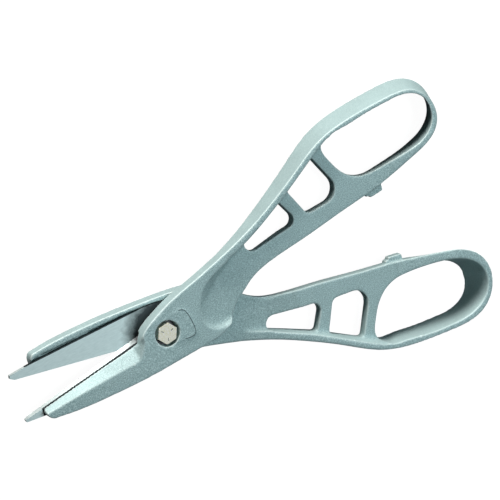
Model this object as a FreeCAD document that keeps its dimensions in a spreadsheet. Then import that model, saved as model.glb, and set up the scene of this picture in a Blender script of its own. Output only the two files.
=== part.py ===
import FreeCAD, Part
import math
import os
import Sketcher

V = FreeCAD.Vector
ROT = FreeCAD.Rotation
os.makedirs("parts", exist_ok=True)
doc = FreeCAD.newDocument("snips")

# ---------------------------------------------------------------- driving sizes (mm)
SIZES = {
    "rim_face": (10.0, "half depth of the handle rails and height of the hub face"),
    "hub_low": (9.6, "height of the hub face beside the raised pivot pad"),
    "jaw_tip_face": (8.0, "height of the jaw face at its tip"),
    "mid_gap": (0.25, "casting face to middle plane"),
    "blade_gap": (0.04, "blade face to middle plane"),
    "blade_thick": (2.6, "blade thickness"),
    "seat_floor": (2.7, "top of the blade seat above the middle plane"),
    "web_root": (4.6, "front of the web near the hub"),
    "hollow_start": (11.9, "plane of the hub hollow's floor at the pivot axis"),
    "hollow_tilt": (7.0, "fall of that floor towards the handle, in degrees"),
    "ramp_start": (12.1, "plane of the far side's ramp at the pivot axis"),
    "ramp_tilt": (8.98, "fall of that ramp towards the handle, in degrees"),
    "web_half": (3.7, "half thickness of the web round the windows"),
    "groove_depth": (3.2, "depth of the relief groove along the outer edge of the blade seat"),
    "tab_half": (2.5, "half thickness of the handle stop tab"),
    "well_radius": (8.8, "radius of the round well for head and nut"),
    "well_floor": (4.3, "floor of the well above the middle plane"),
    "bore_radius": (6.05, "pivot bore in castings and blades"),
    "sleeve_radius": (6.0, "outside radius of the pivot sleeve"),
    "sleeve_bore": (4.05, "inside radius of the pivot sleeve"),
    "sleeve_half": (4.25, "half length of the pivot sleeve"),
    "shank_radius": (3.95, "pivot bolt shank radius"),
    "washer_radius": (8.4, "flat washer outside radius"),
    "washer_bore": (4.15, "flat washer inside radius"),
    "washer_thick": (0.75, "flat washer thickness"),
    "hex_flats": (12.7, "across flats of bolt head and nut"),
    "hex_chamfer": (6.95, "radius of the turned corners at the end of head and nut"),
    "hex_turn": (9.0, "angle of a hex corner from the X axis, in degrees"),
    "head_top": (9.95, "outer end of bolt head and of nut"),
    "insert_radius": (5.1, "outside radius of the nylon ring"),
    "insert_thick": (1.5, "thickness of the nylon ring"),
    "screw_radius": (1.95, "blade screw shank radius"),
    "screw_head": (3.8, "blade screw head radius"),
    "screw_end": (8.2, "far end of the blade screws"),
    "pin_radius": (1.95, "locating pin radius"),
    "pin_end": (7.2, "far end of the locating pins"),
    "side_clear": (0.05, "clearance round screws and pins"),
}
sheet = doc.addObject("Spreadsheet::Sheet", "Sizes")
for row, (alias, (value, note)) in enumerate(SIZES.items(), start=1):
    sheet.set(f"A{row}", note)
    sheet.set(f"B{row}", str(value))
    sheet.setAlias(f"B{row}", alias)
doc.recompute()
D = {alias: value for alias, (value, note) in SIZES.items()}

# ---------------------------------------------------------------- outlines (mm, pivot at 0,0)
# The casting that reaches up to the right with its handle and down to the left with its jaw.
# FRONT is the outline at the outer face, BACK the outline at the opposite face: the finger
# loop leans, so the two differ beyond the windows.
HANDLE_BACK = [(30, 25.4), (53.1, 32.7), (76.9, 41.6), (96.3, 51.2), (117.6, 63.3), (146.0, 79.9),
               (160, 84.4), (178, 87.4), (201, 89.4), (215, 89.6), (228, 86.4), (237.4, 78.6),
               (242.4, 66.0), (241.2, 54.0), (235.6, 45.0), (225, 37.6), (206, 32.0), (184, 28.0),
               (168, 25.6), (148.5, 22.8), (121.3, 17.8), (91, 13.2), (76, 9.6), (68, 5.4), (61.5, 0.3)]
HANDLE_FRONT = [(30, 25.4), (53.1, 32.6), (76.9, 41.5), (96.3, 51.0), (117.6, 62.9), (145.4, 78.2),
                (158, 81.6), (175, 84.1), (197, 85.7), (210, 85.9), (221.5, 83.4), (230, 76.0),
                (234.2, 65.0), (233.6, 57.0), (229.4, 49.9), (221, 44.2), (204, 38.0), (184, 30.6),
                (168, 26.3), (148.5, 22.8), (121.3, 17.8), (91, 13.2), (76, 9.6), (68, 5.4), (61.5, 0.3)]
LOOP_FRONT = [(150.0, 75.4), (146.8, 68.9), (149.8, 59.9), (155.6, 49.8), (163.2, 43.2), (172.4, 40.6),
              (184, 41.0), (199, 43.2), (213, 45.9), (222.8, 50.4), (229.0, 57.9), (230.1, 66.6),
              (226.6, 75.8), (217, 81.9), (199, 82.7), (180, 81.2), (163, 79.0)]
# at the back the two loops differ a little in their inner rail
LOOP_RAIL = {"front": [(163.2, 42.8), (172.4, 39.0), (184, 39.0), (200, 40.3), (216, 43.0), (230.0, 48.8)],
             "rear": [(163.2, 42.4), (172.4, 38.2), (184, 36.9), (200, 37.9), (216, 41.2), (230.0, 48.2)]}
LOOP_ROOT = [(150.0, 75.8), (146.8, 68.9), (149.8, 59.9), (155.6, 49.8)]
LOOP_END = [(237.4, 57.6), (238.4, 67.0), (233.6, 77.0), (221, 84.3), (202, 85.6), (182, 83.8), (164, 80.6)]
# corners of the two windows: x, y, radius
WINDOW_NEAR = [(72.6, 23.9, 6.2), (115.5, 29.6, 5.5), (105.4, 48.4, 2.5), (72.6, 32.1, 1.5)]
WINDOW_FAR = [(123.5, 31.7, 5.0), (153.4, 34.4, 10.0), (137.2, 67.9, 2.5), (113.4, 53.4, 3.0)]
# inner line of the thick outer rail, from the hub out to the finger loop
RAIL_TOP = [(58, 29.6), (76, 36.1), (98, 47.1), (118, 58.5), (138, 70.7), (150, 77.4)]
RAIL_FOOT = [(58, 27.6), (76, 34.1), (98, 45.1), (118, 56.5), (138, 68.7), (151, 74.8)]
RAIL_TOP_BACK = [(28, 20.2), (56, 28.8), (76, 36.2), (98, 47.2), (118, 58.6), (138, 70.8), (150, 77.8)]
RAIL_FOOT_BACK = [(30, 17.3), (57, 26.8), (76, 34.1), (98, 45.1), (118, 56.5), (138, 68.7), (151, 75.0)]
# outline of the hollow in the hub, which opens into the handle: at the face and at its floor
HOLLOW_TOP = [(58, 29.6), (44, 24.9), (34, 20.6), (28.4, 15.6), (25.4, 9.4), (24.0, 2.8), (24.6, -4.0),
              (27.6, -9.8), (33.6, -13.8), (40.0, -15.0), (52, -12.6)]
HOLLOW_FOOT = [(58, 25.6), (47, 19.6), (38.4, 12.8), (33.2, 7.2), (30.4, 1.8), (29.8, -2.6), (32.2, -7.2),
               (36.8, -10.0), (42.4, -10.6), (52, -8.8)]
JAW_TOP = [(-57.6, -6.5), (-41.6, -3.8), (-25.6, -1.2), (-19.8, 0.2)]
HUB_LEFT = [(-19.8, 0.2), (-16.6, 6.0), (-11.8, 9.9), (-4.1, 13.9), (5.7, 18.2), (14, 21.0), (30, 25.4)]
HUB_OUTER = [(30, 25.4), (42, 29.0), (53.1, 32.6)]
HUB_RIGHT = [(64, 3.0), (57.6, -1.4), (52.6, -6.0), (48.6, -10.6), (44.4, -14.4), (39.0, -17.0),
             (32.0, -18.6)]
# the two jaws are alike but not the same: outer side, then nose
JAW_SPINE = {"front": [(22.9, -19.5), (2.0, -21.1), (-16.0, -22.3), (-42.7, -22.9), (-73.6, -22.2),
                       (-88.0, -20.6)],
             "rear": [(22.9, -20.2), (2.0, -22.5), (-16.0, -23.7), (-37.0, -24.7), (-56.0, -25.0),
                      (-75.0, -24.5), (-86.0, -23.4)]}
JAW_NOSE = {"front": [(-88.0, -20.6), (-91.8, -19.7), (-93.9, -17.4), (-94.5, -14.8), (-93.2, -12.7)],
            "rear": [(-86.0, -23.4), (-89.0, -22.6), (-90.6, -20.0), (-90.9, -16.4), (-90.4, -12.9)]}
# cutting edge, and the line where its bevel ends on the outer side
BLADE_EDGE = {"front": [(-105.4, -13.6), (-15.4, 3.9)], "rear": [(-105.2, -12.6), (-15.4, 2.75)]}
BLADE_BEVEL = {"front": [(-105.2, -14.3), (-15.4, 1.4)], "rear": [(-105.0, -13.7), (-15.4, 1.65)]}
BLADE_TANG = [(-11.6, 8.0), (-5.6, 11.4), (4.6, 13.4), (13.6, 11.4), (19.0, 4.4), (19.4, -5.0),
              (16.4, -13.6), (8.0, -18.0), (-4.0, -19.7), (-20.0, -20.3)]
BLADE_TIP = [(-88.0, -18.5), (-92.4, -17.9), (-107.4, -16.5), (-107.9, -14.5)]
PIVOT_PAD = [(-8, 12.2), (11.3, 12.2), (15.4, 11.2), (17.4, 7.8), (20.0, -6.0), (19.0, -9.4), (15.6, -10.6),
             (-8, -12.2)]
STOP_TAB = [(169.4, 30.5), (169.4, 24.2), (172.0, 24.0), (172.4, 22.5), (182.2, 23.8), (182.8, 24.6),
            (182.8, 33.0)]
CLEARANCE = [(-40, 60), (-40, -60), (106, -60), (100, 13.0), (86, 12.4), (75, 13.0), (75, 33.7),
             (57, 26.8), (45, 40), (0, 60)]
BLADE_SEAT = [[(-112, -18.1), (-112, 30)], [(-112, 30), (-15.7, 30)], [(-15.7, 30), (-15.7, 3.0)],
              [(-15.7, 3.0), (-11.9, 8.4), (-5.7, 11.8), (4.7, 13.8), (13.9, 11.7), (19.4, 4.5),
               (19.8, -5.1), (16.7, -13.9), (8.1, -18.5), (-4.0, -20.5), (-20.0, -21.4)],
              [(-20.0, -21.4), (-84.0, -20.5)], [(-84.0, -20.5), (-92.4, -19.0)],
              [(-92.4, -19.0), (-112, -18.1)]]
SEAT_GROOVE = [(-10, -20.9), (-20, -21.3), (-84, -20.4), (-90, -19.4), (-90, -18.3), (-84, -19.2),
               (-20, -20.1), (-10, -19.7)]
SCREW_SPOTS = [(4.4, -13.1), (12.9, -12.2)]
PIN_SPOT = (14.4, 3.6)


# ---------------------------------------------------------------- helpers
def run_curve(points, closed=False):
    """One stretch of an outline: a straight line for two points, a smooth curve for more."""
    pts = [V(x, y, 0) for x, y in points]
    if len(pts) == 2:
        return Part.LineSegment(pts[0], pts[1])
    curve = Part.BSplineCurve()
    curve.interpolate(pts, PeriodicFlag=closed)
    return curve


def rounded(corners):
    """Closed outline of straight lines with an arc at each corner (x, y, radius)."""
    starts, ends, shapes = [], [], []
    for n, (x, y, radius) in enumerate(corners):
        at = V(x, y, 0)
        before, after = (V(*corners[k % len(corners)][:2], 0) - at for k in (n - 1, n + 1))
        half = before.getAngle(after) / 2
        before.normalize()
        after.normalize()
        reach = radius / math.tan(half)
        middle = at + (before + after).normalize() * (radius / math.sin(half) - radius)
        starts.append(at + before * reach)
        ends.append(at + after * reach)
        shapes.append(Part.Arc(starts[-1], middle, ends[-1]))
    return shapes + [Part.LineSegment(ends[n - 1], starts[n]) for n in range(len(corners))]


def sketch(body, name, runs, level=None, plane="XY_Plane", closed=False):
    """Sketch in a body, made of stretches; level is a sheet expression along the plane normal."""
    sk = body.newObject("Sketcher::SketchObject", name)
    sk.AttachmentSupport = [(next(f for f in body.Origin.OriginFeatures if f.Role == plane), "")]
    sk.MapMode = "FlatFace"
    for run in runs:
        sk.addGeometry(run_curve(run, closed) if isinstance(run, list) else run)
    if level is not None:
        sk.setExpression(".AttachmentOffset.Base.z", level)
    return sk


def tilted_sketch(body, name, runs, start, tilt):
    """Sketch on a plane that falls towards the handle; start and tilt name sheet sizes."""
    sk = sketch(body, name, runs)
    sk.AttachmentOffset = FreeCAD.Placement(V(0, 0, D[start]), ROT(V(0, 1, 0), D[tilt]))
    sk.setExpression(".AttachmentOffset.Base.z", f"Sizes.{start}")
    sk.setExpression(".AttachmentOffset.Rotation.Angle", f"Sizes.{tilt} * 1 deg")
    return sk


def polygon(points):
    return [[a, b] for a, b in zip(points, points[1:] + points[:1])]


def circle_sketch(body, name, spots, radius, level, extra=0.0):
    """Circles of one sheet radius, larger by a fixed clearance where they are holes."""
    sk = sketch(body, name, [], level)
    for x, y in spots:
        i = sk.addGeometry(Part.Circle(V(x, y, 0), V(0, 0, 1), D[radius] + extra))
        sk.addConstraint(Sketcher.Constraint("Radius", i, D[radius] + extra))
        sk.setExpression(f"Constraints[{sk.ConstraintCount - 1}]", f"Sizes.{radius} + {extra}")
    return sk


def feature(body, kind, name, profile, **settings):
    """PartDesign feature on a sketch; settings given as text are bound to the sheet."""
    f = body.newObject(f"PartDesign::{kind}", name)
    f.Profile = profile
    for key, value in settings.items():
        if isinstance(value, str) and key != "Type":
            f.setExpression(key, value)
        else:
            setattr(f, key, value)
    profile.Visibility = False
    doc.recompute()
    return f


def loft(body, kind, name, first, second):
    return feature(body, kind, name, first, Sections=[second], Ruled=True)


def new_body(label, turned=False):
    body = doc.addObject("PartDesign::Body", label)
    body.Label = label
    if turned:
        body.Placement = FreeCAD.Placement(V(0, 0, 0), ROT(V(1, 0, 0), 180))
    return body


# ---------------------------------------------------------------- handle-and-jaw casting
def casting(side, turned):
    label = side + "_casting"
    body = new_body(label, turned)
    nose = JAW_NOSE[side]
    outline = [nose[-1:] + JAW_TOP, HUB_LEFT, HUB_OUTER, [HUB_OUTER[-1], HUB_RIGHT[0]],
               HUB_RIGHT + JAW_SPINE[side], nose]
    plate = sketch(body, label + "_plate", outline, "Sizes.mid_gap")
    feature(body, "Pad", label + "_hub_and_jaw", plate, Length="Sizes.rim_face - Sizes.mid_gap")

    root = [(61.5, 0.3), (44, 2), (30, 25.4)]
    back = sketch(body, label + "_outline_back", [HANDLE_BACK, root[:2], root[1:]], "-Sizes.rim_face")
    front = sketch(body, label + "_outline_front", [HANDLE_FRONT, root[:2], root[1:]], "Sizes.rim_face")
    loft(body, "AdditiveLoft", label + "_handle", back, front)

    face, low, tip, gap = D["rim_face"], D["hub_low"], D["jaw_tip_face"], D["mid_gap"]
    above = [(-110, tip - 0.4), (-30, face), (-8, face), (24, low), (58, low), (84, face), (84, 14),
             (-110, 14)]
    below = [(20, gap), (52, gap), (86, -5.2), (112, -8.2), (142, -face), (142, -14), (20, -14)]
    profile = sketch(body, label + "_side_view", polygon(above) + polygon(below), plane="XZ_Plane")
    feature(body, "Pocket", label + "_side_trim", profile, Type=0, Length=400, Midplane=True)

    # hollow in the hub, its floor falling towards the handle, then the recess along the handle
    foot = [HOLLOW_FOOT, [HOLLOW_FOOT[-1], (64, -4)], [(64, -4), (64, 28)], [(64, 28), HOLLOW_FOOT[0]]]
    top = [HOLLOW_TOP, [HOLLOW_TOP[-1], (64, -8)], [(64, -8), (64, 31)], [(64, 31), HOLLOW_TOP[0]]]
    a = tilted_sketch(body, label + "_hollow_floor", foot, "hollow_start", "hollow_tilt")
    b = sketch(body, label + "_hollow_mouth", top, "Sizes.rim_face + 0.6")
    loft(body, "SubtractiveLoft", label + "_hub_hollow", a, b)
    foot = [[(58, -6), (166, 15), (190, 24)], [(190, 24), (189, 44)],
            [(189, 44), (182, 60), (165, 70), (151, 74.8)], RAIL_FOOT[::-1], [RAIL_FOOT[0], (58, -6)]]
    top = [[(58, -10), (172, 14), (222, 30)], [(222, 30), (219, 47)],
           [(219, 47), (205, 62), (175, 72), (150, 77.4)], RAIL_TOP[::-1], [RAIL_TOP[0], (58, -10)]]
    a = sketch(body, label + "_recess_foot", foot, "Sizes.web_root")
    b = sketch(body, label + "_recess_top", top, "Sizes.rim_face + 0.6")
    loft(body, "SubtractiveLoft", label + "_front_recess", a, b)

    # thinner web beyond the hub, ramped at both ends
    step_foot = [[(98, 8), (98, 44.2)], [(98, 44.2), (118, 55.6), (138, 67.8), (151, 73.9)],
                 [(151, 73.9), (160, 66), (171, 56), (174, 46)], [(174, 46), (174, 20)],
                 [(174, 20), (98, 8)]]
    step_top = [[(80, 5), (80, 35.6)], [(80, 35.6), (98, 44.7), (118, 56.1), (138, 68.3), (151, 74.4)],
                [(151, 74.4), (165, 69), (180, 60), (189, 47)], [(189, 47), (189, 22)], [(189, 22), (80, 5)]]
    a = sketch(body, label + "_step_foot", step_foot, "Sizes.web_half")
    b = sketch(body, label + "_step_top", step_top, "Sizes.web_root + 0.1")
    loft(body, "SubtractiveLoft", label + "_web_step", a, b)

    back_foot = [[(30, -10), (30, 17.3)], RAIL_FOOT_BACK,
                 [RAIL_FOOT_BACK[-1], (160, 66), (171, 56), (174, 46)],
                 [(174, 46), (174, 14)], [(174, 14), (30, -10)]]
    back_top = [[(28, -14), (28, 20.2)], RAIL_TOP_BACK, [RAIL_TOP_BACK[-1], (180, 72), (208, 60), (222, 44)],
                [(222, 44), (226, 26)], [(226, 26), (28, -14)]]
    a = sketch(body, label + "_hollow_foot", back_foot, "-Sizes.web_half")
    b = sketch(body, label + "_hollow_top", back_top, "-Sizes.rim_face - 0.6")
    loft(body, "SubtractiveLoft", label + "_back_recess", a, b)
    ramp_foot = polygon([(75.6, -10), (75.6, 33.7), (101.3, 46.3), (101.3, -4)])
    ramp_top = polygon([(74.6, -12), (74.6, 35.4), (102.3, 49.4), (102.3, -6)])
    a = tilted_sketch(body, label + "_ramp_foot", ramp_foot, "ramp_start", "ramp_tilt")
    b = sketch(body, label + "_ramp_top", ramp_top, "-Sizes.rim_face - 0.6")
    loft(body, "SubtractiveLoft", label + "_ramp_recess", a, b)

    swept = sketch(body, label + "_swept_area", polygon(CLEARANCE), "Sizes.mid_gap")
    feature(body, "Pocket", label + "_swept_cut", swept, Type=0, Length=14, Reversed=False)

    near_far = sketch(body, label + "_windows", rounded(WINDOW_NEAR) + rounded(WINDOW_FAR))
    feature(body, "Pocket", label + "_window_cut", near_far, Type=0, Length=60, Midplane=True)
    loop = LOOP_ROOT + LOOP_RAIL[side] + LOOP_END
    a = sketch(body, label + "_loop_back", [loop], "-Sizes.rim_face - 0.6", closed=True)
    b = sketch(body, label + "_loop_front", [LOOP_FRONT], "Sizes.rim_face + 0.6", closed=True)
    loft(body, "SubtractiveLoft", label + "_finger_loop", a, b)

    tab = sketch(body, label + "_tab_shape", polygon(STOP_TAB))
    feature(body, "Pad", label + "_stop_tab", tab, Length="2 * Sizes.tab_half", Midplane=True)

    # sloping face of the jaw beside the blade, which runs out in the hub
    slope = {-97: [(-13.4, 3.0), (-17.4, 12)], -23.6: [(-0.6, 3.0), (-11.4, 12)],
             -17.4: [(1.8, 9.4), (-3.4, 12)]}
    cuts = []
    for x, (low, high) in slope.items():
        corners = polygon([low, high, (10, 12), (10, low[1])])
        cuts.append(sketch(body, f"{label}_slope_{len(cuts)}", corners, str(x), "YZ_Plane"))
    feature(body, "SubtractiveLoft", label + "_jaw_slope", cuts[0], Sections=cuts[1:], Ruled=True)

    seat = sketch(body, label + "_seat_shape", BLADE_SEAT, "Sizes.mid_gap - 1")
    feature(body, "Pocket", label + "_blade_seat", seat, Type=0, Reversed=True,
            Length="Sizes.seat_floor - Sizes.mid_gap + 1")

    groove = sketch(body, label + "_groove_shape", polygon(SEAT_GROOVE), "Sizes.seat_floor - 0.2")
    feature(body, "Pocket", label + "_seat_groove", groove, Type=0, Reversed=True,
            Length="Sizes.groove_depth + 0.2")

    pad = sketch(body, label + "_pad_shape", [PIVOT_PAD, [PIVOT_PAD[-1], PIVOT_PAD[0]]], "Sizes.hub_low - 1")
    feature(body, "Pad", label + "_pivot_pad", pad, Length="Sizes.rim_face - Sizes.hub_low + 1")
    well = circle_sketch(body, label + "_well_circle", [(0, 0)], "well_radius", "Sizes.rim_face + 1")
    feature(body, "Pocket", label + "_well", well, Type=0, Length="Sizes.rim_face + 1 - Sizes.well_floor")
    bore = circle_sketch(body, label + "_bore_circle", [(0, 0)], "bore_radius", "0")
    feature(body, "Pocket", label + "_bore", bore, Type=0, Length=40, Midplane=True)
    holes = circle_sketch(body, label + "_screw_circles", SCREW_SPOTS, "screw_radius", "0", D["side_clear"])
    feature(body, "Pocket", label + "_screw_holes", holes, Type=0, Reversed=True,
            Length="Sizes.screw_end + 0.3")
    holes = circle_sketch(body, label + "_pin_circle", [PIN_SPOT], "pin_radius", "0", D["side_clear"])
    feature(body, "Pocket", label + "_pin_hole", holes, Type=0, Reversed=True, Length="Sizes.pin_end + 0.3")
    return body


def blade(side, turned):
    label = side + "_blade"
    body = new_body(label, turned)
    faces = []
    for (start, end), level in ((BLADE_EDGE[side], "Sizes.blade_gap"),
                                (BLADE_BEVEL[side], "Sizes.blade_gap + Sizes.blade_thick")):
        runs = [[start, end], [end, BLADE_TANG[0]], BLADE_TANG]
        runs += polygon(BLADE_TANG[-1:] + BLADE_TIP + [start])[:-1]
        faces.append(sketch(body, f"{label}_side_{len(faces)}", runs, level))
    loft(body, "AdditiveLoft", label + "_plate", *faces)
    bore = circle_sketch(body, label + "_bore_circle", [(0, 0)], "bore_radius", "0")
    feature(body, "Pocket", label + "_bore", bore, Type=0, Length=20, Midplane=True)
    for n, spot in enumerate(SCREW_SPOTS):
        wide = circle_sketch(body, f"{label}_sink_wide_{n}", [spot], "screw_head", "0", 0.2)
        thin = circle_sketch(body, f"{label}_sink_thin_{n}", [spot], "screw_radius", "2.1", D["side_clear"])
        loft(body, "SubtractiveLoft", f"{label}_sink_{n}", wide, thin)
    holes = circle_sketch(body, label + "_screw_circles", SCREW_SPOTS, "screw_radius", "0", D["side_clear"])
    feature(body, "Pocket", label + "_screw_holes", holes, Type=0, Length=20, Midplane=True)
    holes = circle_sketch(body, label + "_pin_circle", [PIN_SPOT], "pin_radius", "0", D["side_clear"])
    feature(body, "Pocket", label + "_pin_hole", holes, Type=0, Length=20, Midplane=True)
    return body


# ---------------------------------------------------------------- fasteners from primitives
def solid(kind, name, spot=(0, 0), level="0", **sizes):
    o = doc.addObject(f"Part::{kind}", name)
    o.Placement.Base = V(spot[0], spot[1], 0)
    for key, value in sizes.items():
        if isinstance(value, str):
            o.setExpression(key, value)
        else:
            setattr(o, key, value)
    o.setExpression(".Placement.Base.z", level)
    return o


def combine(kind, name, base, *tools):
    """Cut, fuse or intersect solids in turn; the last result carries the name."""
    for n, tool in enumerate(tools):
        o = doc.addObject(f"Part::{kind}", name if n == len(tools) - 1 else f"{name}_{n}")
        o.Base, o.Tool = base, tool
        base = o
    return base


def tube(name, outer, inner, level, height):
    a = solid("Cylinder", name + "_outside", level=level, Radius=outer, Height=height)
    b = solid("Cylinder", name + "_hole", level=f"{level} - 1", Radius=inner, Height=f"{height} + 2")
    return combine("Cut", name, a, b)


def hexagon(name, level, height):
    """Hexagonal prism with the corners of its far end turned off."""
    prism = solid("Prism", name + "_six_sides", level=level, Polygon=6, Height=height,
                  Circumradius="Sizes.hex_flats / 2 / cos(30)")
    prism.Placement.Rotation = ROT(V(0, 0, 1), D["hex_turn"])
    prism.setExpression(".Placement.Rotation.Angle", "Sizes.hex_turn * 1 deg")
    cone = solid("Cone", name + "_corner_cone", level=level, Height=height,
                 Radius1=f"Sizes.hex_chamfer + ({height}) / tan(30)", Radius2="Sizes.hex_chamfer")
    return combine("Common", name, prism, cone)


def screw_set(label, turned):
    screws = []
    for n, spot in enumerate(SCREW_SPOTS):
        name = f"{label}_{n}"
        head = solid("Cone", name + "_head", spot, "Sizes.blade_gap + 0.06", Radius1="Sizes.screw_head",
                     Radius2="Sizes.screw_radius", Height="Sizes.screw_head - Sizes.screw_radius")
        stem = solid("Cylinder", name + "_stem", spot, "0.5", Radius="Sizes.screw_radius",
                     Height="Sizes.screw_end - 0.5")
        socket = solid("Prism", name + "_socket", spot, "0", Polygon=6, Circumradius=1.45, Height=1.5)
        screws.append(combine("Cut", name, combine("Fuse", name + "_blank", head, stem), socket))
    group = doc.addObject("Part::Compound", label)
    group.Links = screws
    return finish(group, label, turned)


def locating_pin(label, turned):
    """Plain dowel through blade and casting, on the far side of the middle plane when turned."""
    side = -1 if turned else 1
    level = "-Sizes.blade_gap - Sizes.pin_end + 0.1" if turned else "Sizes.blade_gap + 0.1"
    pin = solid("Cylinder", label, (PIN_SPOT[0], side * PIN_SPOT[1]), level, Radius="Sizes.pin_radius",
                Height="Sizes.pin_end - 0.2")
    return finish(pin, label)


def finish(o, label, turned=False):
    o.Label = label
    if turned:
        o.Placement = FreeCAD.Placement(V(0, 0, 0), ROT(V(1, 0, 0), 180))
    return o


nodes = []
for tag, turned in (("front", False), ("rear", True)):
    nodes.append(casting(tag, turned))
    nodes.append(blade(tag, turned))
    nodes.append(screw_set(tag + "_blade_screws", turned))
    nodes.append(locating_pin(tag + "_blade_pin", turned))

stack = "Sizes.well_floor + Sizes.washer_thick"
head_height = f"Sizes.head_top - ({stack})"
head = hexagon("bolt_head", stack, head_height)
shank = solid("Cylinder", "bolt_shank", level="-Sizes.head_top", Radius="Sizes.shank_radius",
              Height=f"Sizes.head_top + {stack} + 0.5")
nodes.append(finish(combine("Fuse", "pivot_bolt", head, shank), "pivot_bolt"))
nodes.append(finish(tube("pivot_sleeve", "Sizes.sleeve_radius", "Sizes.sleeve_bore", "-Sizes.sleeve_half",
                         "2 * Sizes.sleeve_half"), "pivot_sleeve"))
for label, turned in (("head_washer", False), ("nut_washer", True)):
    nodes.append(finish(tube(label, "Sizes.washer_radius", "Sizes.washer_bore", "Sizes.well_floor + 0.03",
                             "Sizes.washer_thick - 0.06"), label, turned))
blank = hexagon("nut_blank", stack, head_height)
bore = solid("Cylinder", "nut_thread", level="0", Radius="Sizes.shank_radius + Sizes.side_clear", Height=20)
seat = solid("Cylinder", "nut_ring_seat", level="Sizes.head_top - Sizes.insert_thick - 0.3",
             Radius="Sizes.insert_radius + Sizes.side_clear", Height=4)
nodes.append(finish(combine("Cut", "lock_nut", blank, bore, seat), "lock_nut", True))
ring = tube("nut_insert", "Sizes.insert_radius", "Sizes.shank_radius + Sizes.side_clear",
            "Sizes.head_top - Sizes.insert_thick - 0.25", "Sizes.insert_thick")
nodes.append(finish(ring, "nut_insert", True))

# ---------------------------------------------------------------- check and export
doc.recompute()
for o in doc.Objects:
    if "Invalid" in o.State or "Error" in o.State:
        raise RuntimeError(f"{o.Name}: {o.State}")
for node in nodes:
    shape = node.Shape
    if shape.isNull() or not shape.isValid() or not shape.Solids:
        raise RuntimeError(f"{node.Label}: bad shape")
    shape.exportStep(f"parts/{node.Label}.step")
    print(node.Label, len(shape.Solids), round(shape.Volume, 1), shape.BoundBox)
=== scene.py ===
import math

import bpy
import numpy as np
from mathutils import Matrix, Vector


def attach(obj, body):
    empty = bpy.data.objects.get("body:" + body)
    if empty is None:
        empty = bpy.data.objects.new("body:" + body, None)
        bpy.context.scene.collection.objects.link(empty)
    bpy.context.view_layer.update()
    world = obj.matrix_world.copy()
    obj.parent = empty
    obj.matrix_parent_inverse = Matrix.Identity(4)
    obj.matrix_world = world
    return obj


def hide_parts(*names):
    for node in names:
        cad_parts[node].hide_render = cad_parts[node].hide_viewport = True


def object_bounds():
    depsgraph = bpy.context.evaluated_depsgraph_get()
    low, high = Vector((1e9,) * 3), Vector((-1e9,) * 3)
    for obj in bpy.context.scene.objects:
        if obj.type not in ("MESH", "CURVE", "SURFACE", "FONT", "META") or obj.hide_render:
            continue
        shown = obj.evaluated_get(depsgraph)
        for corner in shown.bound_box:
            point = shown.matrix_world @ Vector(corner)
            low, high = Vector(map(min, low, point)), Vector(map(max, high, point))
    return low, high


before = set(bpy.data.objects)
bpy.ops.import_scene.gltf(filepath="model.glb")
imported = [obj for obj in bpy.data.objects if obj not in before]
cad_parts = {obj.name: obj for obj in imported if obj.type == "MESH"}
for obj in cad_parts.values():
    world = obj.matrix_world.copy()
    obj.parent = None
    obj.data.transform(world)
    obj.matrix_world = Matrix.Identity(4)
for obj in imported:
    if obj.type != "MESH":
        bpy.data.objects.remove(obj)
CAD_LOW, CAD_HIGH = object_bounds()
MM = 0.001

# ---------------------------------------------------------------- sizes (mm unless said) and looks
VOXEL = 0.5               # grid of the skin that gives the castings their rounded edges
EDGE_PASSES = 8           # smoothing passes that round the edges of hub and handle
CRISP_PASSES = 3          # how many of them also reach the well, the stop tab, the blade seat and the jaw
FILLET_PASSES = 26        # further passes that only fill inside corners
NORMALS_EVERY = 6         # the surface normals are worked out again after this many fillet passes
PASS_STEP = 0.5           # share of the way to the neighbours' mean that a point moves in one pass
SKIN_FACES = 150_000      # triangles that each casting skin is thinned to
WELL_RADIUS, WELL_LIP = 8.8, 2.5              # round well for the bolt head, and the crisp band round it
TAB_X, TAB_Y = (167.5, 184.5), (21.0, 30.5)   # the stop tab lies between these
SEAT_X, SEAT_Z = 22.0, 3.6                    # blade seat: left of this line, this near the middle plane
JAW_X = -30.0                                 # jaws, left of this line, keep squarer edges
PAD_SEAM = [(11.8, 11.6), (15.2, 11.3), (17.0, 8.6), (18.4, 3.5), (19.4, -2.4), (19.7, -6.3), (18.6, -8.9),
            (15.8, -9.6), (10.5, -8.6)]
SEAM_RADIUS, SEAM_SUNK = 0.3, 0.12            # the pad's line is the top of a sunk round bead
SEAM_DROP = 30.0                              # its points are dropped on the skin from this height
HEAD_TOP = 9.95                               # top of the bolt head
MARK_HEIGHT, MARK_ROOT = 0.04, 0.1            # how far its marks reach above the top and into the head
MARK_REACH, MARK_HALF = (3.0, 5.0), 0.2       # a mark's inner and outer end, and half its width
MARK_COUNT, MARK_TURN = 3, 20.0               # the first mark's angle is in degrees
BOX_FACES = [(3, 2, 1, 0), (4, 5, 6, 7), (0, 1, 5, 4), (1, 2, 6, 5), (2, 3, 7, 6), (3, 0, 4, 7)]
SHADE_REACH = (23.5, 34.0)                    # painted shade round the pivot, where the hub shades the blade: fully dark out to the first reach, bare steel beyond the second
SHADE_RAGGED = 9.0                            # how far the noise moves the edge of the painted shade
SPINE_SLOPE, SPINE_REACH = 0.0265, 20.1       # painted shadow on the blade's spine, in the gap by the seat's wall: |y| - slope * x beyond this
FACE_REACH = 2.25                             # painted shadow on the blade's outer face along the jaw's edge, beyond this height
JAW_END = -95.2                               # the blades' bare tips, free of the painted shadow on the outer face, start here
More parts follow.
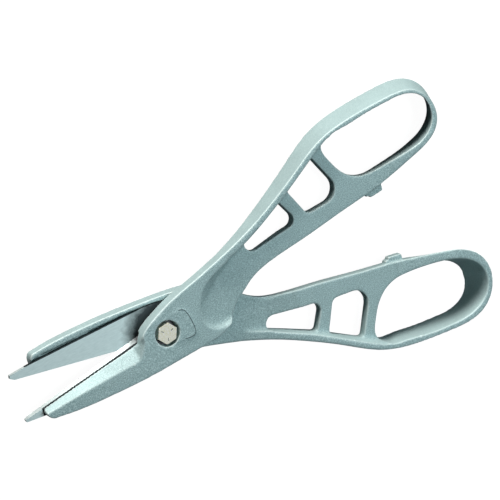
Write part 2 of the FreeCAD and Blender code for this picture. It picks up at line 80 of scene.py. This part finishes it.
# colour of the painted shade on the blades
SHADE_COLOUR = (0.018, 0.027, 0.03, 1)
WALL_GRAIN = 0.3                              # share of the casting's grain left on upright walls
WALL_TILT = (0.45, 0.95)                      # upright below the first |normal z|, flat above the second
CAST_DARK, CAST_MID, CAST_LIGHT = (0.235, 0.36, 0.37), (0.37, 0.53, 0.54), (0.60, 0.775, 0.775)
CAST_WORN_GLINT = (0.76, 0.90, 0.89, 1)             # polished, worn edges, whose light colour is also a painted highlight
CAST_BUMP, STEEL_BUMP = 0.3, 0.03             # depth of the grain
FLOOR_HALF, FLOOR_GAP = 4000.0, 0.2           # the floor's half width, and its drop below the tool
FLOOR_BASE = (0.15, 0.15, 0.15, 1)
FLOOR_GLOW = (0.97, 0.97, 0.97, 1)            # light that the floor seems to give off
CAMERA_TARGET, CAMERA_BACK = (77.3, 24.6, 0.0), 1660.7
CAMERA_ANGLES = (137.42, 60.47, -111.38)      # azimuth, elevation and roll in degrees
SENSOR_WIDTH, LENS = 36.0, 180.0

scene = bpy.context.scene


def link(obj):
    scene.collection.objects.link(obj)
    return obj


def mesh_object(name, mesh):
    return link(bpy.data.objects.new(name, mesh))


def coordinates(mesh):
    co = np.empty(len(mesh.vertices) * 3)
    mesh.vertices.foreach_get("co", co)
    return co.reshape(-1, 3)


def set_coordinates(mesh, co):
    mesh.vertices.foreach_set("co", co.ravel())
    mesh.update()


def applied(obj):
    """The object's mesh with its modifiers applied, as a new mesh."""
    return bpy.data.meshes.new_from_object(obj.evaluated_get(bpy.context.evaluated_depsgraph_get()))


def apply_modifiers(obj):
    old, obj.data = obj.data, applied(obj)
    obj.modifiers.clear()
    bpy.data.meshes.remove(old)


def shade_smooth(mesh):
    mesh.polygons.foreach_set("use_smooth", [True] * len(mesh.polygons))
    mesh.update()


# ---------------------------------------------------------------- castings
def neighbour_mean(co, edges, degree):
    total = np.empty_like(co)
    for axis in range(3):
        total[:, axis] = (np.bincount(edges[:, 0], co[edges[:, 1], axis], len(co))
                          + np.bincount(edges[:, 1], co[edges[:, 0], axis], len(co)))
    return total / degree[:, None]


def vertex_normals(mesh):
    n = np.empty(len(mesh.vertices) * 3)
    mesh.vertices.foreach_get("normal", n)
    return n.reshape(-1, 3)


def round_off(mesh):
    """Rounds a voxel skin: outside edges a little, inside corners more."""
    edges = np.empty(len(mesh.edges) * 2, int)
    mesh.edges.foreach_get("vertices", edges)
    edges = edges.reshape(-1, 2)
    degree = np.bincount(edges.ravel(), minlength=len(mesh.vertices)).astype(float)
    co = coordinates(mesh)
    x, y, z = co[:, 0] / MM, np.abs(co[:, 1]) / MM, np.abs(co[:, 2]) / MM
    near_well = np.hypot(x, y) < WELL_RADIUS + WELL_LIP
    on_tab = (x > TAB_X[0]) & (x < TAB_X[1]) & (y > TAB_Y[0]) & (y < TAB_Y[1])
    in_seat = (x < SEAT_X) & (z < SEAT_Z)
    soft = ~(near_well | on_tab | in_seat)
    handle = soft & (x > JAW_X)
    for step in range(EDGE_PASSES):
        move = PASS_STEP * (neighbour_mean(co, edges, degree) - co)
        if step < CRISP_PASSES:
            co += move
        else:
            co[handle] += move[handle]
    for step in range(FILLET_PASSES):
        if step % NORMALS_EVERY == 0:
            set_coordinates(mesh, co)
            normals = vertex_normals(mesh)
        move = neighbour_mean(co, edges, degree) - co
        inside = ((move * normals).sum(1) > 0) & soft
        co[inside] += PASS_STEP * move[inside]
    set_coordinates(mesh, co)


def casting_skin(node, name):
    """Copy of a casting with the soft edges and fillets that the mould gives it."""
    skin = mesh_object(name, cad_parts[node].data.copy())
    skin.data.materials.clear()
    grid = skin.modifiers.new("grid", "REMESH")
    grid.mode = "VOXEL"
    grid.voxel_size = VOXEL * MM
    apply_modifiers(skin)
    round_off(skin.data)
    thin = skin.modifiers.new("thin", "DECIMATE")
    thin.ratio = min(1, SKIN_FACES / (2 * len(skin.data.polygons)))
    apply_modifiers(skin)
    shade_smooth(skin.data)
    return skin


# ---------------------------------------------------------------- materials
def new_material(name, metallic):
    mat = bpy.data.materials.new(name)
    mat.use_nodes = True
    shader = mat.node_tree.nodes["Principled BSDF"]
    shader.inputs["Metallic"].default_value = metallic
    shader.inputs["IOR"].default_value = 1.45
    return mat, mat.node_tree.nodes, mat.node_tree.links, shader


def place(nodes):
    return nodes.new("ShaderNodeTexCoord").outputs["Object"]


def noise(nodes, links, where, scale, detail, rough):
    n = nodes.new("ShaderNodeTexNoise")
    n.inputs["Scale"].default_value = scale
    n.inputs["Detail"].default_value = detail
    n.inputs["Roughness"].default_value = rough
    links.new(where, n.inputs["Vector"])
    return n.outputs["Fac"]


def ramp(nodes, links, value, stops):
    r = nodes.new("ShaderNodeValToRGB")
    while len(r.color_ramp.elements) < len(stops):
        r.color_ramp.elements.new(0.5)
    for element, (at, colour) in zip(r.color_ramp.elements, stops):
        element.position = at
        element.color = (*colour, 1)
    links.new(value, r.inputs["Fac"])
    return r.outputs["Color"]


def grey(value):
    return (value, value, value)


def bump(nodes, links, height, distance, strength):
    b = nodes.new("ShaderNodeBump")
    b.inputs["Distance"].default_value = distance
    b.inputs["Strength"].default_value = strength
    links.new(height, b.inputs["Height"])
    return b.outputs["Normal"]


def math_node(nodes, links, operation, *inputs):
    """Math node; each input is either a socket to link or a number."""
    n = nodes.new("ShaderNodeMath")
    n.operation = operation
    for socket, value in zip(n.inputs, inputs):
        if isinstance(value, (int, float)):
            socket.default_value = value
        else:
            links.new(value, socket)
    return n.outputs["Value"]


def axes_of(nodes, links, vector):
    split = nodes.new("ShaderNodeSeparateXYZ")
    links.new(vector, split.inputs["Vector"])
    return split.outputs


def length_of(nodes, links, vector):
    n = nodes.new("ShaderNodeVectorMath")
    n.operation = "LENGTH"
    links.new(vector, n.inputs[0])
    return n.outputs["Value"]


def map_range(nodes, links, value, old, new):
    """Carries the value from the old range to the new one, and holds it at the ends."""
    n = nodes.new("ShaderNodeMapRange")
    for name, limit in zip(("From Min", "From Max", "To Min", "To Max"), (*old, *new)):
        n.inputs[name].default_value = limit
    links.new(value, n.inputs["Value"])
    return n.outputs["Result"]


def blend(nodes, links, share, first, second):
    """Mix of two colours; each is either a socket to link or a colour."""
    mix = nodes.new("ShaderNodeMix")
    mix.data_type = "RGBA"
    links.new(share, mix.inputs["Factor"])
    for name, colour in (("A", first), ("B", second)):
        socket = next(s for s in mix.inputs if s.name == name and s.type == "RGBA")
        if isinstance(colour, tuple):
            socket.default_value = colour
        else:
            links.new(colour, socket)
    return next(s for s in mix.outputs if s.type == "RGBA")


def calm_on_walls(nodes, links, grain):
    """Weakens the grain on upright walls, which the mould's draw has smoothed."""
    normal = nodes.new("ShaderNodeTexCoord").outputs["Normal"]
    flatness = math_node(nodes, links, "ABSOLUTE", axes_of(nodes, links, normal)["Z"])
    share = map_range(nodes, links, flatness, WALL_TILT, (WALL_GRAIN, 1.0))
    centred = math_node(nodes, links, "SUBTRACT", grain, 0.5)
    return math_node(nodes, links, "MULTIPLY_ADD", centred, share, 0.5)


def cast_material():
    mat, nodes, links, shader = new_material("cast_aluminium", 0.25)
    where = place(nodes)
    grain = calm_on_walls(nodes, links, noise(nodes, links, where, scale=1350, detail=3, rough=0.65))
    cloud = noise(nodes, links, where, scale=60, detail=3, rough=0.5)
    colour = ramp(nodes, links, grain, [(0.32, CAST_DARK), (0.5, CAST_MID), (0.68, CAST_LIGHT)])
    # sharp outside edges are blended to a light colour: worn edges and a painted highlight
    sharpness = nodes.new("ShaderNodeNewGeometry").outputs["Pointiness"]
    edge = ramp(nodes, links, sharpness, [(0.505, grey(0.0)), (0.56, grey(0.75))])
    dullness = ramp(nodes, links, cloud, [(0.3, grey(0.50)), (0.7, grey(0.62))])
    links.new(blend(nodes, links, edge, colour, CAST_WORN_GLINT), shader.inputs["Base Color"])
    links.new(dullness, shader.inputs["Roughness"])
    links.new(bump(nodes, links, grain, CAST_BUMP * MM, strength=0.8), shader.inputs["Normal"])
    return mat


def steel_material(name, dark, light, roughness, lines=None, metallic=1.0, with_painted_shade=False):
    """Finely mottled metal or plastic; lines stretches the mottling along an axis, as grinding does."""
    mat, nodes, links, shader = new_material(name, metallic)
    where = place(nodes)
    if lines:
        stretch = nodes.new("ShaderNodeMapping")
        stretch.inputs["Scale"].default_value = lines
        links.new(where, stretch.inputs["Vector"])
        where = stretch.outputs["Vector"]
    fine = noise(nodes, links, where, scale=900, detail=4, rough=0.6)
    colour = ramp(nodes, links, fine, [(0.3, dark), (0.7, light)])
    if with_painted_shade:
        colour = painted_blade_shade(nodes, links, colour)
    dullness = ramp(nodes, links, fine, [(0.3, grey(roughness - 0.06)), (0.7, grey(roughness + 0.06))])
    links.new(colour, shader.inputs["Base Color"])
    links.new(dullness, shader.inputs["Roughness"])
    links.new(bump(nodes, links, fine, STEEL_BUMP * MM, strength=0.5), shader.inputs["Normal"])
    return mat


def painted_blade_shade(nodes, links, colour):
    """Painted shade: darkens the colour round the pivot with a ragged edge, where the hub shades the
    blade, and on the blade's spine and outer face, where the casting shades them.
    """
    where = place(nodes)
    flat = nodes.new("ShaderNodeVectorMath")
    flat.operation = "MULTIPLY"
    flat.inputs[1].default_value = (1, 1, 0)
    links.new(where, flat.inputs[0])
    reach = length_of(nodes, links, flat.outputs["Vector"])
    cloud = noise(nodes, links, where, scale=180, detail=3, rough=0.6)
    ragged = math_node(nodes, links, "MULTIPLY_ADD", cloud, SHADE_RAGGED * MM, reach)
    off_pivot = map_range(nodes, links, ragged, [r * MM for r in SHADE_REACH], (0.0, 1.0))
    at = axes_of(nodes, links, where)
    outward = math_node(nodes, links, "ABSOLUTE", at["Y"])
    height = math_node(nodes, links, "ABSOLUTE", at["Z"])
    spine = math_node(nodes, links, "MULTIPLY_ADD", at["X"], -SPINE_SLOPE, outward)
    off_spine = math_node(nodes, links, "LESS_THAN", spine, SPINE_REACH * MM)
    off_face = math_node(nodes, links, "LESS_THAN", height, FACE_REACH * MM)
    at_tip = math_node(nodes, links, "LESS_THAN", at["X"], JAW_END * MM)
    off_face = math_node(nodes, links, "MAXIMUM", off_face, at_tip)
    unshaded = math_node(nodes, links, "MULTIPLY", off_spine, off_face)
    unshaded = math_node(nodes, links, "MULTIPLY", off_pivot, unshaded)
    return blend(nodes, links, unshaded, SHADE_COLOUR, colour)


def paint(obj, material):
    obj.data.materials.clear()
    obj.data.materials.append(material)


cast = cast_material()
# the blades carry painted shade round the pivot and painted shadow along the spine and outer face
ground = steel_material("ground_steel", (0.49, 0.61, 0.615), (0.59, 0.71, 0.715), 0.42,
                        lines=(0.25, 1.0, 1.0), metallic=0.4, with_painted_shade=True)
plated = steel_material("yellow_zinc", (0.80, 0.78, 0.5), (1.0, 1.0, 1.0), 0.4, metallic=0.0)
black = steel_material("black_oxide", (0.06, 0.06, 0.065), (0.1, 0.1, 0.105), 0.45)
nylon = steel_material("nylon", (0.7, 0.72, 0.73), (0.8, 0.82, 0.83), 0.5, metallic=0.0)

for material, names in (
        (ground, ("front_blade", "rear_blade")),
        (plated, ("pivot_bolt", "lock_nut")),
        (black, ("head_washer", "nut_washer", "front_blade_screws", "rear_blade_screws",
                 "front_blade_pin", "rear_blade_pin", "pivot_sleeve")),
        (nylon, ("nut_insert",))):
    for name in names:
        paint(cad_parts[name], material)


def pad_seam(skin, side):
    """Line that the casting's pad leaves in the hub face, laid on the skin."""
    out = 1 if side == "front" else -1
    curve = bpy.data.curves.new(side + "_pad_seam", "CURVE")
    curve.dimensions = "3D"
    curve.bevel_depth = SEAM_RADIUS * MM
    curve.bevel_resolution = 2
    spline = curve.splines.new("NURBS")
    spline.points.add(len(PAD_SEAM) - 1)
    for point, (x, y) in zip(spline.points, PAD_SEAM):
        _, at, _, _ = skin.ray_cast(Vector((x, out * y, out * SEAM_DROP)) * MM, Vector((0, 0, -out)))
        point.co = (at.x, at.y, at.z - out * SEAM_SUNK * MM, 1)
    spline.use_endpoint_u = True
    spline.order_u = 4
    line = link(bpy.data.objects.new(side + "_pad_line", curve))
    seam = mesh_object(side + "_pad_seam", applied(line))
    bpy.data.objects.remove(line)
    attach(seam, side + "_half")
    return seam


def head_marks():
    """Three radial strength marks on the bolt head."""
    corners, faces = [], []
    near, far = MARK_REACH
    outline = [(near, -MARK_HALF), (far, -MARK_HALF), (far, MARK_HALF), (near, MARK_HALF)]
    for n in range(MARK_COUNT):
        turn = Matrix.Rotation(math.radians(MARK_TURN + 360 / MARK_COUNT * n), 3, "Z")
        start = len(corners)
        for z in (HEAD_TOP - MARK_ROOT, HEAD_TOP + MARK_HEIGHT):
            corners += [turn @ Vector((x, y, z)) * MM for x, y in outline]
        faces += [[start + k for k in face] for face in BOX_FACES]
    mesh = bpy.data.meshes.new("bolt_head_marks")
    mesh.from_pydata(corners, [], faces)
    marks = mesh_object("bolt_head_marks", mesh)
    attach(marks, "front_half")
    return marks


# dark paint for the pad's line and the bolt head's marks: painted shadow along the pad's step and on the
# marks
seam_shadow_paint = steel_material("seam_shade", (0.035, 0.06, 0.065), (0.07, 0.11, 0.12), 0.7, metallic=0.0)
for side in ("front", "rear"):
    skin = casting_skin(side + "_casting", side + "_cast_half")
    paint(skin, cast)
    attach(skin, side + "_half")
    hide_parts(side + "_casting")
    paint(pad_seam(skin, side), seam_shadow_paint)
paint(head_marks(), seam_shadow_paint)


# ---------------------------------------------------------------- floor, light, camera
def floor():
    half = FLOOR_HALF * MM
    level = CAD_LOW.z - FLOOR_GAP * MM
    corners = [(x, y, level) for x, y in ((-half, -half), (half, -half), (half, half), (-half, half))]
    mesh = bpy.data.meshes.new("floor")
    mesh.from_pydata(corners, [], [(0, 1, 2, 3)])
    obj = mesh_object("floor", mesh)
    mat, nodes, links, shader = new_material("pale_floor", 0.0)
    shader.inputs["Base Color"].default_value = FLOOR_BASE
    shader.inputs["Roughness"].default_value = 0.9
    shader.inputs["Emission Color"].default_value = FLOOR_GLOW
    # bright to the eye without lighting the tool from below, so that its inner walls stay dark
    seen = nodes.new("ShaderNodeLightPath").outputs["Is Camera Ray"]
    links.new(seen, shader.inputs["Emission Strength"])
    obj.data.materials.append(mat)


def area_light(name, direction, distance, size, power, colour):
    """Rectangular light that faces the middle of the tool; distance and size are in metres."""
    light = bpy.data.lights.new(name, "AREA")
    light.shape = "RECTANGLE"
    light.size, light.size_y = size
    light.energy, light.color = power, colour
    obj = link(bpy.data.objects.new(name, light))
    towards = Vector(direction).normalized()
    obj.location = (CAD_LOW + CAD_HIGH) / 2 + towards * distance
    obj.rotation_mode = "QUATERNION"
    obj.rotation_quaternion = towards.to_track_quat("Z", "Y")


def camera():
    """Long lens from the blade side, rolled so that the tool runs from lower left to upper right."""
    azimuth, elevation, roll = (math.radians(a) for a in CAMERA_ANGLES)
    back = Vector((math.cos(azimuth) * math.cos(elevation),
                   math.sin(azimuth) * math.cos(elevation),
                   math.sin(elevation)))
    level = Vector((0, 0, 1)).cross(back).normalized()
    upright = back.cross(level)
    up = upright * math.cos(roll) + level * math.sin(roll)
    right = up.cross(back)
    cam = link(bpy.data.objects.new("camera", bpy.data.cameras.new("camera")))
    cam.data.sensor_width, cam.data.lens = SENSOR_WIDTH, LENS
    cam.data.clip_start, cam.data.clip_end = 0.05, 20
    place_at = (Vector(CAMERA_TARGET) + back * CAMERA_BACK) * MM
    facing = Matrix((right, up, back)).transposed().to_4x4()
    cam.matrix_world = Matrix.Translation(place_at) @ facing
    scene.camera = cam


floor()
area_light("key", direction=(0.0, 0.97, 0.14), distance=1.6, size=(1.9, 0.4), power=47,
           colour=(1.0, 0.91, 0.87))
area_light("top", direction=(0.4, 0.0, 1.0), distance=1.8, size=(0.9, 0.9), power=16.5,
           colour=(0.87, 0.97, 1.0))
world = bpy.data.worlds.new("studio")
world.use_nodes = True
sky = world.node_tree.nodes["Background"]
sky.inputs["Color"].default_value = (0.93, 0.97, 1.0, 1)
sky.inputs["Strength"].default_value = 0.02
scene.world = world
scene.view_settings.view_transform = "Standard"
camera()
